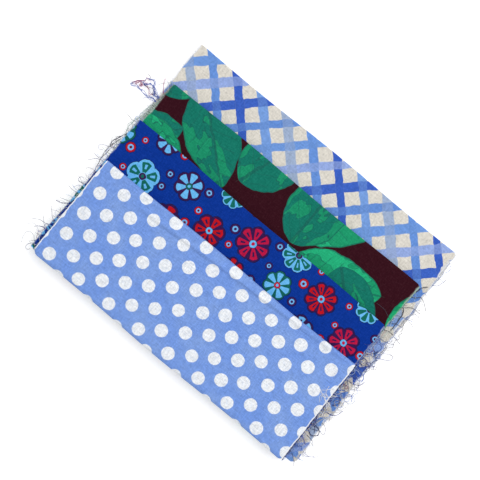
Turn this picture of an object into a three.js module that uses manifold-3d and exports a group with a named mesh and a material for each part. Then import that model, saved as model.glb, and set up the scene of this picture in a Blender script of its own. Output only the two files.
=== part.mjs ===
// Stack of four quarter yard cuts of printed quilting cotton, each folded to a strip and laid on the last.
// Sizes are in millimetres. X runs along the nine inch length, from the left raw end to the right one.
// Y runs from the near folds, where the cuts lie flush, to the far folds, which step back. Z is up.
import * as THREE from "three";
import { mergeVertices } from "three/addons/utils/BufferGeometryUtils.js";
import Module from "manifold-3d";

const wasm = await Module();
wasm.setup();

const TAU = 2 * Math.PI;
const lerp = THREE.MathUtils.lerp;

// Gaps: between the plies of one cut, and between one piece and the next.
const PLY_GAP = 0.3;
const PIECE_GAP = 0.35;

// Steps of the mesh: along a cut, across one flat run, and round one fold.
const LENGTH_STEPS = 8;
const RUN_STEPS = 4;
const FOLD_STEPS = 5;

// Unevenness: how far a fold wanders from a straight line, and how far the stack's top rises and sinks.
const FOLD_WANDER = 0.5;
const FOLD_WAVES = 1.6;
const TOP_SWELL = 0.3;
const SWELL_WAVES = 2.2;

// Frayed raw ends: the woven edge that holds the loose threads, and the threads themselves.
const EDGE_LENGTH = 1.2;
const THREAD_ROOT = 0.5;
const THREAD_RADIUS = 0.4;
const TIP_SHARE = 0.6;
const THREAD_STEPS = 3;
const MOST_LEAN = 0.3;
const SHORTEST_SHARE = 0.5;
const LONGEST_SHARE = 1.4;
const EDGE_MARGIN = 4;
const FRAY_SEED = 1000;
const PLY_SEED = 100;

// The cuts, from the bottom one up. width is the folded width that the ends are measured over: ends gives
// x of the left and the right raw end at y = 0 (near) and at y = width (far). A ply is one flat run across
// the cut. The first run starts at the edge in start, and each run ends at the fold or edge in its own row:
// level counts up from the underside, left and right give y of that fold at the two raw ends, and outLeft
// and outRight say how far the raw ends stick out past the cut's there, because no ply is quite straight.
const CUTS = [
  {
    name: "check",
    colour: 0xa9bbdc,
    thickness: 1.0,
    width: 189,
    wave: 0.1,
    ends: { leftNear: 1.5, leftFar: -1.7, rightNear: 238.6, rightFar: 230.6 },
    start: { left: 185.5, right: 187.5, outLeft: 1.6, outRight: 2.0 },
    plies: [
      { level: 0, left: 1.6, right: 2.2, outLeft: -0.8, outRight: 0.6 },
      { level: 1, left: 188.8, right: 190.9, outLeft: 0.0, outRight: 0.0 },
      { level: 2, left: 4.4, right: 5.6, outLeft: -0.6, outRight: -2.0 },
    ],
  },
  {
    name: "leaf",
    colour: 0x1f8f6c,
    thickness: 1.0,
    width: 156,
    wave: 0.45,
    ends: { leftNear: 1.0, leftFar: 2.1, rightNear: 227.3, rightFar: 226.7 },
    start: { left: 152.5, right: 153.6, outLeft: 1.5, outRight: -0.6 },
    plies: [
      { level: 0, left: 1.2, right: 0.8, outLeft: 2.6, outRight: 1.2 },
      { level: 1, left: 155.6, right: 157.2, outLeft: 0.0, outRight: 0.0 },
      { level: 2, left: 3.6, right: 3.0, outLeft: -0.9, outRight: 0.4 },
    ],
  },
  {
    name: "flower",
    colour: 0x173f9e,
    thickness: 1.1,
    width: 120,
    wave: 0.7,
    ends: { leftNear: -1.6, leftFar: 0.0, rightNear: 230.4, rightFar: 225.9 },
    start: { left: 117.0, right: 117.2, outLeft: -0.8, outRight: 2.4 },
    plies: [
      { level: 0, left: 0.6, right: 1.6, outLeft: 0.4, outRight: 0.8 },
      { level: 1, left: 120.1, right: 120.1, outLeft: 0.0, outRight: 0.0 },
      { level: 2, left: 3.0, right: 3.8, outLeft: 0.4, outRight: 0.2 },
    ],
  },
  {
    name: "dot",
    colour: 0x7b9ee0,
    thickness: 1.2,
    width: 84,
    wave: 0.25,
    ends: { leftNear: 2.1, leftFar: 1.2, rightNear: 230.0, rightFar: 227.2 },
    start: { left: 81.0, right: 82.0, outLeft: 0.9, outRight: -0.8 },
    plies: [
      { level: 0, left: 0.0, right: 0.0, outLeft: -0.8, outRight: -0.6 },
      { level: 3, left: 83.7, right: 85.1, outLeft: 0.0, outRight: 0.0 },
      { level: 2, left: 1.8, right: 1.8, outLeft: -1.0, outRight: 0.6 },
      { level: 1, left: 81.5, right: 82.5, outLeft: -0.6, outRight: -0.5 },
    ],
  },
];

// The frayed ends: side is -1 at the left end and 1 at the right, spacing is between threads on one ply,
// and reach is their mean length past the woven edge.
const FRAYS = [
  { cut: "check", side: -1, spacing: 12, reach: 3.5 },
  { cut: "check", side: 1, spacing: 10, reach: 3.0 },
  { cut: "leaf", side: -1, spacing: 13, reach: 3.5 },
  { cut: "leaf", side: 1, spacing: 15, reach: 3.0 },
  { cut: "flower", side: -1, spacing: 14, reach: 3.5 },
  { cut: "flower", side: 1, spacing: 14, reach: 2.5 },
  { cut: "dot", side: -1, spacing: 11, reach: 3.5 },
  { cut: "dot", side: 1, spacing: 13, reach: 2.5 },
];

// The longest loose threads, each on the top ply of its cut: y of its root, length and lean.
const LONG_THREADS = [
  { cut: "leaf", side: -1, y: 134, length: 19, lean: 0.05 },
  { cut: "leaf", side: -1, y: 141, length: 22, lean: -0.06 },
  { cut: "leaf", side: -1, y: 147, length: 15, lean: -0.15 },
  { cut: "leaf", side: 1, y: 152, length: 13, lean: -0.3 },
  { cut: "check", side: 1, y: 117, length: 8, lean: -0.2 },
  { cut: "check", side: 1, y: 168, length: 7, lean: 0.3 },
];

const END_NAMES = { "-1": "left", 1: "right" };

// Distance between the middles of two plies that lie on each other.
function plyPitch(cut) {
  return cut.thickness + PLY_GAP;
}

// Height of a whole folded cut, at its highest level.
function cutHeight(cut) {
  const levels = cut.plies.map((ply) => ply.level);
  return Math.max(...levels) * plyPitch(cut) + cut.thickness;
}

const STACK_HEIGHT = CUTS.reduce((sum, cut) => sum + cutHeight(cut) + PIECE_GAP, -PIECE_GAP);

// How far a cut's near or far folds wander at s, which goes from 0 at the left end to 1 at the right.
function foldWander(cut, direction, s) {
  const phase = cut.wave + 0.3 * direction;
  return FOLD_WANDER * Math.sin(TAU * (FOLD_WAVES * s + phase));
}

// The rise of the cloth at s: none on the surface, and most at the top of the stack.
function swell(s, z) {
  return TOP_SWELL * (z / STACK_HEIGHT) * Math.sin(TAU * SWELL_WAVES * s);
}

// x of a cut's raw end, left (-1) or right (1), at y.
function endX(cut, side, y) {
  const ends = cut.ends;
  const share = y / cut.width;
  return side < 0
    ? lerp(ends.leftNear, ends.leftFar, share)
    : lerp(ends.rightNear, ends.rightFar, share);
}

// The points of one flat run, with how far the raw ends stick out there. Its upper face is on the side of
// direction.
function runPoints(from, to, z, direction, outs) {
  const points = [];
  for (let i = 0; i < RUN_STEPS; i++) {
    const along = i / RUN_STEPS;
    points.push({
      y: lerp(from, to, along),
      z,
      normalY: 0,
      normalZ: direction,
      outLeft: lerp(outs.from.outLeft, outs.to.outLeft, along),
      outRight: lerp(outs.from.outRight, outs.to.outRight, along),
    });
  }
  return points;
}

// The points round one fold, a half circle from (y, z) to (y, nextZ) on the side of direction.
function foldPoints(y, z, nextZ, direction, fold) {
  const radius = Math.abs(nextZ - z) / 2;
  const up = Math.sign(nextZ - z);
  const points = [];
  for (let i = 0; i < FOLD_STEPS; i++) {
    const angle = Math.PI * (i / FOLD_STEPS);
    points.push({
      y: y + direction * radius * Math.sin(angle),
      z: lerp(z, nextZ, (1 - Math.cos(angle)) / 2),
      normalY: -up * Math.sin(angle),
      normalZ: direction * Math.cos(angle),
      outLeft: fold.outLeft,
      outRight: fold.outRight,
    });
  }
  return points;
}

// The middle height of a ply above the cut's underside.
function plyMiddle(cut, ply) {
  return ply.level * plyPitch(cut) + cut.thickness / 2;
}

// The middle line of a cut's back-and-forth section at s, from its first edge to its last.
function sectionLine(cut, s) {
  const line = [];
  let y = lerp(cut.start.left, cut.start.right, s);
  let from = cut.start;
  cut.plies.forEach((ply, i) => {
    const next = cut.plies[i + 1];
    const z = plyMiddle(cut, ply);
    const nextZ = next ? plyMiddle(cut, next) : z;
    const straight = lerp(ply.left, ply.right, s);
    const direction = Math.sign(straight - y);
    const turn = straight + foldWander(cut, direction, s);
    const reach = next ? Math.abs(nextZ - z) / 2 + cut.thickness / 2 : 0;
    const runEnd = turn - direction * reach;
    line.push(...runPoints(y, runEnd, z, direction, { from, to: ply }));
    if (next) {
      line.push(...foldPoints(runEnd, z, nextZ, direction, ply));
    } else {
      const { outLeft, outRight } = ply;
      line.push({ y: runEnd, z, normalY: 0, normalZ: direction, outLeft, outRight });
    }
    y = runEnd;
    from = ply;
  });
  return line;
}

// x of the cloth's raw end at a point of the section.
function rawEnd(cut, side, point) {
  const out = side < 0 ? point.outLeft : point.outRight;
  return endX(cut, side, point.y) + side * out;
}

// The two faces of the cloth at one point of the section, at x.
function clothPoint(cut, base, point, x, s) {
  const half = cut.thickness / 2;
  const place = (offset) => {
    const z = base + point.z + offset * point.normalZ;
    return new THREE.Vector3(x, point.y + offset * point.normalY, z + swell(s, z));
  };
  return { upper: place(half), lower: place(-half) };
}

// The stations of a whole cut, from its left raw end to its right one.
function cutStations(cut, base) {
  const stations = [];
  for (let k = 0; k <= LENGTH_STEPS; k++) {
    const s = k / LENGTH_STEPS;
    stations.push(
      sectionLine(cut, s).map((point) => {
        const x = lerp(rawEnd(cut, -1, point), rawEnd(cut, 1, point), s);
        return clothPoint(cut, base, point, x, s);
      }),
    );
  }
  return stations;
}

// The two stations of the woven edge that follows a cut's raw end, a piece gap away from it.
function edgeStations(cut, base, side) {
  const s = side < 0 ? 0 : 1;
  const outward = [PIECE_GAP, PIECE_GAP + EDGE_LENGTH];
  const offsets = side < 0 ? outward.map((d) => -d).reverse() : outward;
  return offsets.map((offset) =>
    sectionLine(cut, s).map((point) => {
      const x = rawEnd(cut, side, point) + offset;
      return clothPoint(cut, base, point, x, s);
    }),
  );
}

// A closed mesh of a folded ribbon of cloth, from rows of its two faces' points at stations along X.
function ribbonGeometry(stations) {
  const rows = stations.length;
  const count = stations[0].length;
  const positions = [];
  for (const station of stations) {
    for (const { upper, lower } of station) positions.push(...upper.toArray(), ...lower.toArray());
  }
  const at = (row, i, lower) => 2 * (row * count + i) + lower;
  const index = [];
  const quad = (a, b, c, d) => index.push(a, b, c, a, c, d);
  for (let row = 0; row + 1 < rows; row++) {
    for (let i = 0; i + 1 < count; i++) {
      quad(at(row, i, 0), at(row + 1, i, 0), at(row + 1, i + 1, 0), at(row, i + 1, 0));
      quad(at(row, i + 1, 1), at(row + 1, i + 1, 1), at(row + 1, i, 1), at(row, i, 1));
    }
    const last = count - 1;
    quad(at(row, 0, 1), at(row + 1, 0, 1), at(row + 1, 0, 0), at(row, 0, 0));
    quad(at(row, last, 0), at(row + 1, last, 0), at(row + 1, last, 1), at(row, last, 1));
  }
  for (let i = 0; i + 1 < count; i++) {
    const end = rows - 1;
    quad(at(0, i, 0), at(0, i + 1, 0), at(0, i + 1, 1), at(0, i, 1));
    quad(at(end, i, 1), at(end, i + 1, 1), at(end, i + 1, 0), at(end, i, 0));
  }
  const geometry = new THREE.BufferGeometry();
  geometry.setAttribute("position", new THREE.Float32BufferAttribute(positions, 3));
  geometry.setIndex(index);
  return geometry;
}

// A tapered three sided thread along its points, with a flat side down.
function threadGeometry(points, radius) {
  const last = points.length - 1;
  const heading = points[last].clone().sub(points[0]).setZ(0).normalize();
  const across = new THREE.Vector3(-heading.y, heading.x, 0);
  const corners = [
    { across: -Math.cos(TAU / 12), up: -Math.sin(TAU / 12) },
    { across: Math.cos(TAU / 12), up: -Math.sin(TAU / 12) },
    { across: 0, up: 1 },
  ];
  const positions = [];
  points.forEach((point, i) => {
    const r = radius * lerp(1, TIP_SHARE, i / last);
    for (const corner of corners) {
      const vertex = point.clone().addScaledVector(across, r * corner.across);
      vertex.z += r * (corner.up + Math.sin(TAU / 12));
      positions.push(...vertex.toArray());
    }
  });
  const index = [0, 2, 1, 3 * last, 3 * last + 1, 3 * last + 2];
  for (let i = 0; i < last; i++) {
    for (let k = 0; k < 3; k++) {
      const a = 3 * i + k;
      const b = 3 * i + ((k + 1) % 3);
      index.push(a, b, a + 3, b, b + 3, a + 3);
    }
  }
  const geometry = new THREE.BufferGeometry();
  geometry.setAttribute("position", new THREE.Float32BufferAttribute(positions, 3));
  geometry.setIndex(index);
  return geometry;
}

// A closed mesh as a solid that can be joined to others.
function solidOf(geometry) {
  const merged = mergeVertices(geometry, 1e-4);
  return new wasm.Manifold(
    new wasm.Mesh({
      numProp: 3,
      vertProperties: new Float32Array(merged.attributes.position.array),
      triVerts: new Uint32Array(merged.index.array),
    }),
  );
}

// The surface of a solid, as a geometry to draw.
function geometryOf(solid) {
  const mesh = solid.getMesh();
  const geometry = new THREE.BufferGeometry();
  geometry.setAttribute("position", new THREE.BufferAttribute(mesh.vertProperties, 3));
  geometry.setIndex(new THREE.BufferAttribute(mesh.triVerts, 1));
  return geometry;
}

// A share from 0 to 1 that is always the same for the same seed.
function share(seed) {
  const value = Math.sin(seed * 12.9898 + 4.1414) * 43758.5453;
  return value - Math.floor(value);
}

// The raw end of one ply, clear of its folds: from low to high along y, and how far it sticks out at each.
function plyEnd(cut, side, ply) {
  const place = cut.plies.indexOf(ply);
  const corners = [place === 0 ? cut.start : cut.plies[place - 1], ply].map((row) => ({
    y: side < 0 ? row.left : row.right,
    outLeft: row.outLeft,
    outRight: row.outRight,
  }));
  corners.sort((a, b) => a.y - b.y);
  const [near, far] = corners;
  const at = (y) => {
    const along = (y - near.y) / (far.y - near.y);
    return {
      y,
      outLeft: lerp(near.outLeft, far.outLeft, along),
      outRight: lerp(near.outRight, far.outRight, along),
    };
  };
  return { low: near.y + EDGE_MARGIN, high: far.y - EDGE_MARGIN, at };
}

// The path of one loose thread, rooted in the woven edge. Over the surface it comes down and rests level.
function threadPath(cut, base, side, ply, thread) {
  const s = side < 0 ? 0 : 1;
  const root = plyEnd(cut, side, ply).at(thread.y);
  const x = rawEnd(cut, side, root) + side * (PIECE_GAP + THREAD_ROOT);
  const middle = base + plyMiddle(cut, ply);
  const height = middle + swell(s, middle) - THREAD_RADIUS / 2;
  const onSurface = base === 0 && ply.level === 0;
  const points = [];
  for (let i = 0; i <= THREAD_STEPS; i++) {
    const along = (thread.length + EDGE_LENGTH - THREAD_ROOT) * (i / THREAD_STEPS);
    const sideways = along * Math.tan(thread.lean) * (i / THREAD_STEPS);
    const z = onSurface && i > 0 ? 0 : height;
    points.push(new THREE.Vector3(x + side * along, thread.y + sideways, z));
  }
  return points;
}

// The ply that lies on top of a cut.
function topPly(cut) {
  return cut.plies.reduce((best, ply) => (ply.level > best.level ? ply : best));
}

// The few longest threads of a cut's end, all on its top ply.
function longThreads(cut, side) {
  return LONG_THREADS.filter((row) => row.cut === cut.name && row.side === side);
}

// The loose threads of one ply's raw end, evenly rooted, with lengths and leans that vary.
function plyThreads(cut, fray, ply, seed) {
  const { low, high } = plyEnd(cut, fray.side, ply);
  const count = Math.floor((high - low) / fray.spacing);
  const step = (high - low) / count;
  const long = ply === topPly(cut) ? longThreads(cut, fray.side) : [];
  const threads = [...long];
  for (let i = 0; i < count; i++) {
    const y = low + step * (i + 0.5);
    if (long.some((row) => Math.abs(row.y - y) < step)) continue;
    const length = fray.reach * lerp(SHORTEST_SHARE, LONGEST_SHARE, share(seed + i));
    const lean = MOST_LEAN * (2 * share(seed + i + 0.5) - 1);
    threads.push({ y, length, lean });
  }
  return threads;
}

// A frayed end: its woven edge with every loose thread joined to it.
function frayGeometry(cut, base, fray, seed) {
  const pieces = [ribbonGeometry(edgeStations(cut, base, fray.side))];
  cut.plies.forEach((ply, i) => {
    for (const thread of plyThreads(cut, fray, ply, seed + PLY_SEED * i)) {
      pieces.push(threadGeometry(threadPath(cut, base, fray.side, ply, thread), THREAD_RADIUS));
    }
  });
  return geometryOf(wasm.Manifold.union(pieces.map(solidOf)));
}

// A named mesh with the cloth's colour.
function clothMesh(name, geometry, colour) {
  const material = new THREE.MeshStandardMaterial({ color: colour, roughness: 0.9, metalness: 0 });
  geometry.computeVertexNormals();
  const mesh = new THREE.Mesh(geometry, material);
  mesh.name = name;
  return mesh;
}

// The whole stack, laid up from the surface, with each cut's frayed ends.
function buildStack() {
  const stack = new THREE.Group();
  let base = 0;
  for (const cut of CUTS) {
    const cloth = ribbonGeometry(cutStations(cut, base));
    stack.add(clothMesh(`${cut.name}_cut`, cloth, cut.colour));
    FRAYS.forEach((fray, i) => {
      if (fray.cut !== cut.name) return;
      const threads = frayGeometry(cut, base, fray, FRAY_SEED * (i + 1));
      stack.add(clothMesh(`${cut.name}_fray_${END_NAMES[fray.side]}`, threads, cut.colour));
    });
    base += cutHeight(cut) + PIECE_GAP;
  }
  return stack;
}

// The part's origin is the middle of the footprint, on the surface.
function centred(stack) {
  const box = new THREE.Box3().setFromObject(stack);
  const centre = box.getCenter(new THREE.Vector3());
  stack.position.set(-centre.x, -centre.y, -box.min.z);
  const part = new THREE.Group();
  part.add(stack);
  return part;
}

export default centred(buildStack());
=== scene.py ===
"""Stack of four quarter yard cuts of printed quilting cotton, each folded to a strip and laid on the last.

Layout coordinates are millimetres: x runs along the nine inch length from the left raw ends to the right
ones, y from the near folds, where the cuts lie flush, to the far folds, which step back, and z is up from
the surface. Every mesh is written in metres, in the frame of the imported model.
"""

import logging
import math
from dataclasses import dataclass, field
from enum import Enum

import bpy
import numpy as np
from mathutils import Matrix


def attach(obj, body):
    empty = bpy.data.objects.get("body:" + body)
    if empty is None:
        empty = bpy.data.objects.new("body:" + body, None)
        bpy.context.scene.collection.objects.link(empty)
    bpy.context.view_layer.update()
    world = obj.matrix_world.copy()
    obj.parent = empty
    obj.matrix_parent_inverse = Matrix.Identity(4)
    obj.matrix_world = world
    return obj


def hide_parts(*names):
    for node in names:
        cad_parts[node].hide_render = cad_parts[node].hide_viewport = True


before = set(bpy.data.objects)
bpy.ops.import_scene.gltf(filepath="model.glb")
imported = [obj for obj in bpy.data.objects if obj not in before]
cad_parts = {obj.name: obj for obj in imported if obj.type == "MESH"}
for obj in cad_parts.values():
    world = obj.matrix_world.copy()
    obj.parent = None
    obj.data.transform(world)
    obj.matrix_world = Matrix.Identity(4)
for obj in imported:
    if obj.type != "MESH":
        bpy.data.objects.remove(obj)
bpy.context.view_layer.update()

log = logging.getLogger("stack")

Array = np.ndarray
Colour = tuple[int, int, int]

MM = 0.001
TAU = 2 * math.pi

# The frame's origin lies at the middle of the footprint, which is here in the layout.
FRAME_MIDDLE = np.array([111.30, 95.24, 0.0])

# The cloth's own thickness in the layout.
CLOTH = 0.27

# The slow rise and fall of the whole stack along x, as the folded cloth lies.
TOP_SWELL = 0.3
SWELL_WAVES = 2.2
STACK_HEIGHT = 17.85

# How far loose yarns stay from the cloth over and under them.
CLEARANCE = 0.1


class Side(Enum):
    """The side of a cut that a fold lies on."""

    NEAR = -1
    FAR = 1


class End(Enum):
    """The raw end of a cut."""

    LEFT = -1
    RIGHT = 1

    @property
    def word(self) -> str:
        """The end's name in the names of pieces."""
        return self.name.lower()


def to_frame(points: Array) -> Array:
    """Layout millimetres, one point a row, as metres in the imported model's frame."""
    return (points - FRAME_MIDDLE) * MM


def waver(place: Array, seed: float) -> Array:
    """A smooth uneven wave of about one unit high, the same for the same seed.

    Args:
        place: Where it is read, with bumps about one unit apart.
        seed: Which wave it is.

    Returns:
        The wave's height at each place.
    """
    phases = [TAU * math.modf(abs(math.sin(seed * 12.99 + k * 78.23)) * 437.58)[0] for k in range(4)]
    waves = zip((0.5, 0.45, 0.35, 0.25), (0.37, 0.61, 1.0, 1.63), phases)
    return sum(size * np.sin(TAU * rate * place + phase) for size, rate, phase in waves)


def share(seed: float) -> float:
    """A number from 0 to 1 that is always the same for the same seed."""
    return math.modf(abs(math.sin(seed * 12.9898 + 4.1414)) * 43758.5453)[0]


def put(name: str, data: bpy.types.ID) -> bpy.types.Object:
    """Puts an object with this mesh, lamp or camera in the scene.

    Args:
        name: The object's name.
        data: What it shows.

    Returns:
        The object.
    """
    made = bpy.data.objects.new(name, data)
    bpy.context.scene.collection.objects.link(made)
    return made


def closed_mesh(name: str, points: Array, faces: list, maps: dict, crease: float = 40.0) -> bpy.types.Object:
    """A mesh object with flat coordinates kept as UV maps.

    Args:
        name: The piece's name.
        points: Its points in the layout.
        faces: Its faces, as tuples of point numbers.
        maps: UV map names, each with two numbers for every point.
        crease: Angle between faces, in degrees, from which an edge is sharp.

    Returns:
        The object, linked to the scene.
    """
    mesh = bpy.data.meshes.new(name)
    mesh.from_pydata(to_frame(points).tolist(), [], faces)
    corners = np.empty(len(mesh.loops), dtype=np.int64)
    mesh.loops.foreach_get("vertex_index", corners)
    for map_name, pairs in maps.items():
        layer = mesh.uv_layers.new(name=map_name)
        layer.uv.foreach_set("vector", np.asarray(pairs, dtype=np.float32)[corners].ravel())
    mesh.polygons.foreach_set("use_smooth", [True] * len(mesh.polygons))
    mesh.set_sharp_from_angle(angle=math.radians(crease))
    mesh.update()
    return put(name, mesh)


def linear(colour: Colour) -> tuple[float, ...]:
    """A screen colour of three numbers to 255, as the light that a material gives back, with full opacity."""
    parts = [c / 255 for c in colour]
    return (*[c / 12.92 if c <= 0.04045 else ((c + 0.055) / 1.055) ** 2.4 for c in parts], 1.0)


class Wire:
    """A socket of a finish's node tree that can be reckoned with like a number."""

    def __init__(self, finish: "Finish", socket: bpy.types.NodeSocket) -> None:
        """Wraps one output socket of the finish's tree."""
        self.finish, self.socket = finish, socket

    def reckon(self, operation: str, *terms: "Wire | float") -> "Wire":
        """The result of one Math node on these terms."""
        return self.finish.wire("ShaderNodeMath", dict(enumerate(terms)), operation=operation)

    def __add__(self, other: "Wire | float") -> "Wire":
        """self + other."""
        return self.reckon("ADD", self, other)

    def __radd__(self, other: float) -> "Wire":
        """other + self."""
        return self.reckon("ADD", other, self)

    def __sub__(self, other: "Wire | float") -> "Wire":
        """self - other."""
        return self.reckon("SUBTRACT", self, other)

    def __rsub__(self, other: float) -> "Wire":
        """other - self."""
        return self.reckon("SUBTRACT", other, self)

    def __mul__(self, other: "Wire | float") -> "Wire":
        """self * other."""
        return self.reckon("MULTIPLY", self, other)

    def __truediv__(self, other: "Wire | float") -> "Wire":
        """self / other."""
        return self.reckon("DIVIDE", self, other)

    def __abs__(self) -> "Wire":
        """The size without its sign."""
        return self.reckon("ABSOLUTE", self)

    def __pow__(self, other: float) -> "Wire":
        """self to the power of other."""
        return self.reckon("POWER", self, other)

    def floor(self) -> "Wire":
        """The whole number below."""
        return self.reckon("FLOOR", self)

    def fraction(self) -> "Wire":
        """What is left above the whole number below."""
        return self.reckon("FRACT", self)

    def sine(self) -> "Wire":
        """The sine of an angle in radians."""
        return self.reckon("SINE", self)

    def cosine(self) -> "Wire":
        """The cosine of an angle in radians."""
        return self.reckon("COSINE", self)

    def most(self, other: "Wire | float") -> "Wire":
        """The larger of two."""
        return self.reckon("MAXIMUM", self, other)

    def beside(self, other: "Wire") -> "Wire":
        """How far the point with these two coordinates is from nought."""
        return self.reckon("SQRT", self * self + other * other)

    def angle_to(self, other: "Wire") -> "Wire":
        """The angle of the point whose sideways part is other and whose upward part is this."""
        return self.reckon("ARCTAN2", self, other)

    def rise(self, low: float, high: float) -> "Wire":
        """A soft step from 0 at low to 1 at high."""
        sockets = {"Value": self, "From Min": low, "From Max": high}
        return self.finish.wire("ShaderNodeMapRange", sockets, "Result", interpolation_type="SMOOTHSTEP")

    def under(self, edge: "Wire | float", soft: float) -> "Wire":
        """1 below an edge and 0 above it, with a soft border of this width."""
        return 1.0 - (self - edge).rise(-0.5 * soft, 0.5 * soft)


class Finish:
    """One material, with the means to write its node tree."""

    def __init__(self, name: str) -> None:
        """Starts a plain material.

        Args:
            name: The material's name.
        """
        self.material = bpy.data.materials.new(name)
        self.material.use_nodes = True
        self.tree = self.material.node_tree

    def feed(self, socket: bpy.types.NodeSocket, value: object) -> None:
        """Links a wire to a socket, or sets the socket's own value.

        Args:
            socket: The socket.
            value: A wire, a number, a vector or a colour.
        """
        if isinstance(value, Wire):
            self.tree.links.new(value.socket, socket)
        else:
            socket.default_value = value

    def wire(self, kind: str, sockets: dict, output: int | str = 0, **settings: object) -> Wire:
        """One output of a new node.

        Args:
            kind: The node's type.
            sockets: What goes into its sockets, by name or number: values or wires.
            output: The output's name or number.
            settings: The node's own settings, which are set first.

        Returns:
            The output.
        """
        made = self.tree.nodes.new(kind)
        for key, value in settings.items():
            setattr(made, key, value)
        for key, value in sockets.items():
            self.feed(made.inputs[key], value)
        return Wire(self, made.outputs[output])

    def cover(self, sockets: dict) -> None:
        """Feeds the sockets of the surface, by name, with values or wires."""
        for name, value in sockets.items():
            self.feed(self.tree.nodes["Principled BSDF"].inputs[name], value)

    def place(self, map_name: str) -> tuple[Wire, ...]:
        """The two numbers of a UV map."""
        read = self.wire("ShaderNodeUVMap", {}, "UV", uv_map=map_name)
        return tuple(self.wire("ShaderNodeSeparateXYZ", {0: read}, part) for part in range(2))

    def noise(self, x: Wire, y: Wire, seed: float, detail: float = 2.0) -> Wire:
        """Soft noise of about -1 to 1, with bumps one unit apart.

        Args:
            x: Place along.
            y: Place across.
            seed: Which noise it is.
            detail: How many finer layers it has.

        Returns:
            The noise.
        """
        at = self.wire("ShaderNodeCombineXYZ", {0: x, 1: y, 2: seed})
        sockets = {"Vector": at, "Scale": 1.0, "Detail": detail, "Roughness": 0.55}
        return self.wire("ShaderNodeTexNoise", sockets, noise_dimensions="3D") * 2.0 - 1.0

    def chance(self, column: Wire, row: Wire, seed: float) -> tuple[Wire, ...]:
        """Three numbers from 0 to 1 that are the same all over one cell.

        Args:
            column: The cell's number along.
            row: The cell's number across.
            seed: Which draw it is.

        Returns:
            The three numbers.
        """
        at = self.wire("ShaderNodeCombineXYZ", {0: column, 1: row, 2: seed})
        draw = self.wire("ShaderNodeTexWhiteNoise", {"Vector": at}, "Color", noise_dimensions="3D")
        return tuple(self.wire("ShaderNodeSeparateColor", {0: draw}, part) for part in range(3))

    def mixed(self, mask: Wire | float, low: Wire | Colour, high: Wire | Colour) -> Wire:
        """Two colours mixed by a mask, 0 for the first and 1 for the second."""
        low, high = (colour if isinstance(colour, Wire) else linear(colour) for colour in (low, high))
        return self.wire("ShaderNodeMix", {0: mask, 6: low, 7: high}, 2, data_type="RGBA")

    def shaded(self, colour: Wire, amount: Wire) -> Wire:
        """A colour with its light multiplied by a number about 1."""
        return self.wire("ShaderNodeVectorMath", {0: colour, "Scale": amount}, operation="SCALE")

    def picked(self, which: Wire, colours: tuple[Colour, ...]) -> Wire:
        """One of several screen colours.

        Args:
            which: The number from 0 to 1 that chooses.
            colours: The colours, in order, each for a stretch of the same length.

        Returns:
            The chosen colour.
        """
        made = self.tree.nodes.new("ShaderNodeValToRGB")
        made.color_ramp.interpolation = "CONSTANT"
        stops = made.color_ramp.elements
        while len(stops) < len(colours):
            stops.new(1.0)
        for place, colour in enumerate(colours):
            stops[place].position = place / len(colours)
            stops[place].color = linear(colour)
        self.feed(made.inputs[0], which)
        return Wire(self, made.outputs[0])

    def bump(self, height: Wire, depth: float, strength: float) -> None:
        """Gives the surface a fine relief: 1 in height stands for this depth, in metres."""
        sockets = {"Strength": strength, "Distance": depth, "Height": height}
        self.cover({"Normal": self.wire("ShaderNodeBump", sockets)})


class ClothFinish(Finish):
    """A finish that knows where each place was on the flat cloth: x along the cut and y across it."""

    def __init__(self, name: str) -> None:
        """Starts the material and reads the places."""
        super().__init__(name)
        self.x, self.y = self.place("flat")

    def uneven(self, seed: float, rate: float, detail: float = 2.0, rate_y: float = 0.0) -> Wire:
        """Soft noise over the cloth, with rate bumps a millimetre, and across it rate_y if that is given."""
        return self.noise(self.x * rate, self.y * (rate_y or rate), seed, detail)


@dataclass(frozen=True)
class Cell:
    """One place in a repeat: its number along and across, and where a point lies from its middle."""

    column: Wire
    row: Wire
    x: Wire
    y: Wire


def repeat(x: Wire, y: Wire, width: float, height: float) -> Cell:
    """A repeat of cells in columns, every other column dropped by half a cell.

    Args:
        x: Place along, in millimetres.
        y: Place across.
        width: Width of a column.
        height: Height of a cell.

    Returns:
        The cell that holds the place.
    """
    column = (x / width).floor()
    across = y / height + (column * 0.5).fraction()
    row = across.floor()
    return Cell(column, row, x - (column + 0.5) * width, (across - row - 0.5) * height)


@dataclass(frozen=True)
class DotPrint:
    """White dots on periwinkle blue, in rows that step by half a repeat."""

    column: float = 13.585
    row: float = 18.5
    start: tuple[float, float] = (12.3, 7.0)
    across: float = 9.5
    flatter: float = 1.03
    jitter: float = 0.9
    soft: float = 0.4
    ground: Colour = (117, 154, 228)
    haze: Colour = (131, 164, 227)
    white: Colour = (243, 246, 250)
    blotch: Colour = (220, 228, 241)

    def paint(self, cloth: ClothFinish) -> Wire:
        """The printed colour at each place of the flat cloth.

        Args:
            cloth: The finish that it goes into.

        Returns:
            The colour.
        """
        corner = (self.start[0] - self.column / 2, self.start[1] - self.row / 2)
        cell = repeat(cloth.x - corner[0], cloth.y - corner[1], self.column, self.row)
        first, second, third = cloth.chance(cell.column, cell.row, 3.0)
        aside = cell.x + (first - 0.5) * self.jitter
        up = (cell.y + (second - 0.5) * self.jitter) * self.flatter
        far = aside.beside(up) + cloth.uneven(9.0, 0.35) * 0.4
        dot = far.under(third * 0.3 + (self.across / 2 - 0.15), self.soft)
        clouds = cloth.uneven(5.0, 0.42, 4.0).rise(-0.25, 0.5)
        patches = cloth.uneven(2.0, 0.05, 4.0).rise(-0.35, 0.45)
        ground = cloth.mixed(patches, self.ground, self.haze)
        return cloth.mixed(dot, ground, cloth.mixed(clouds, self.white, self.blotch))


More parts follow.
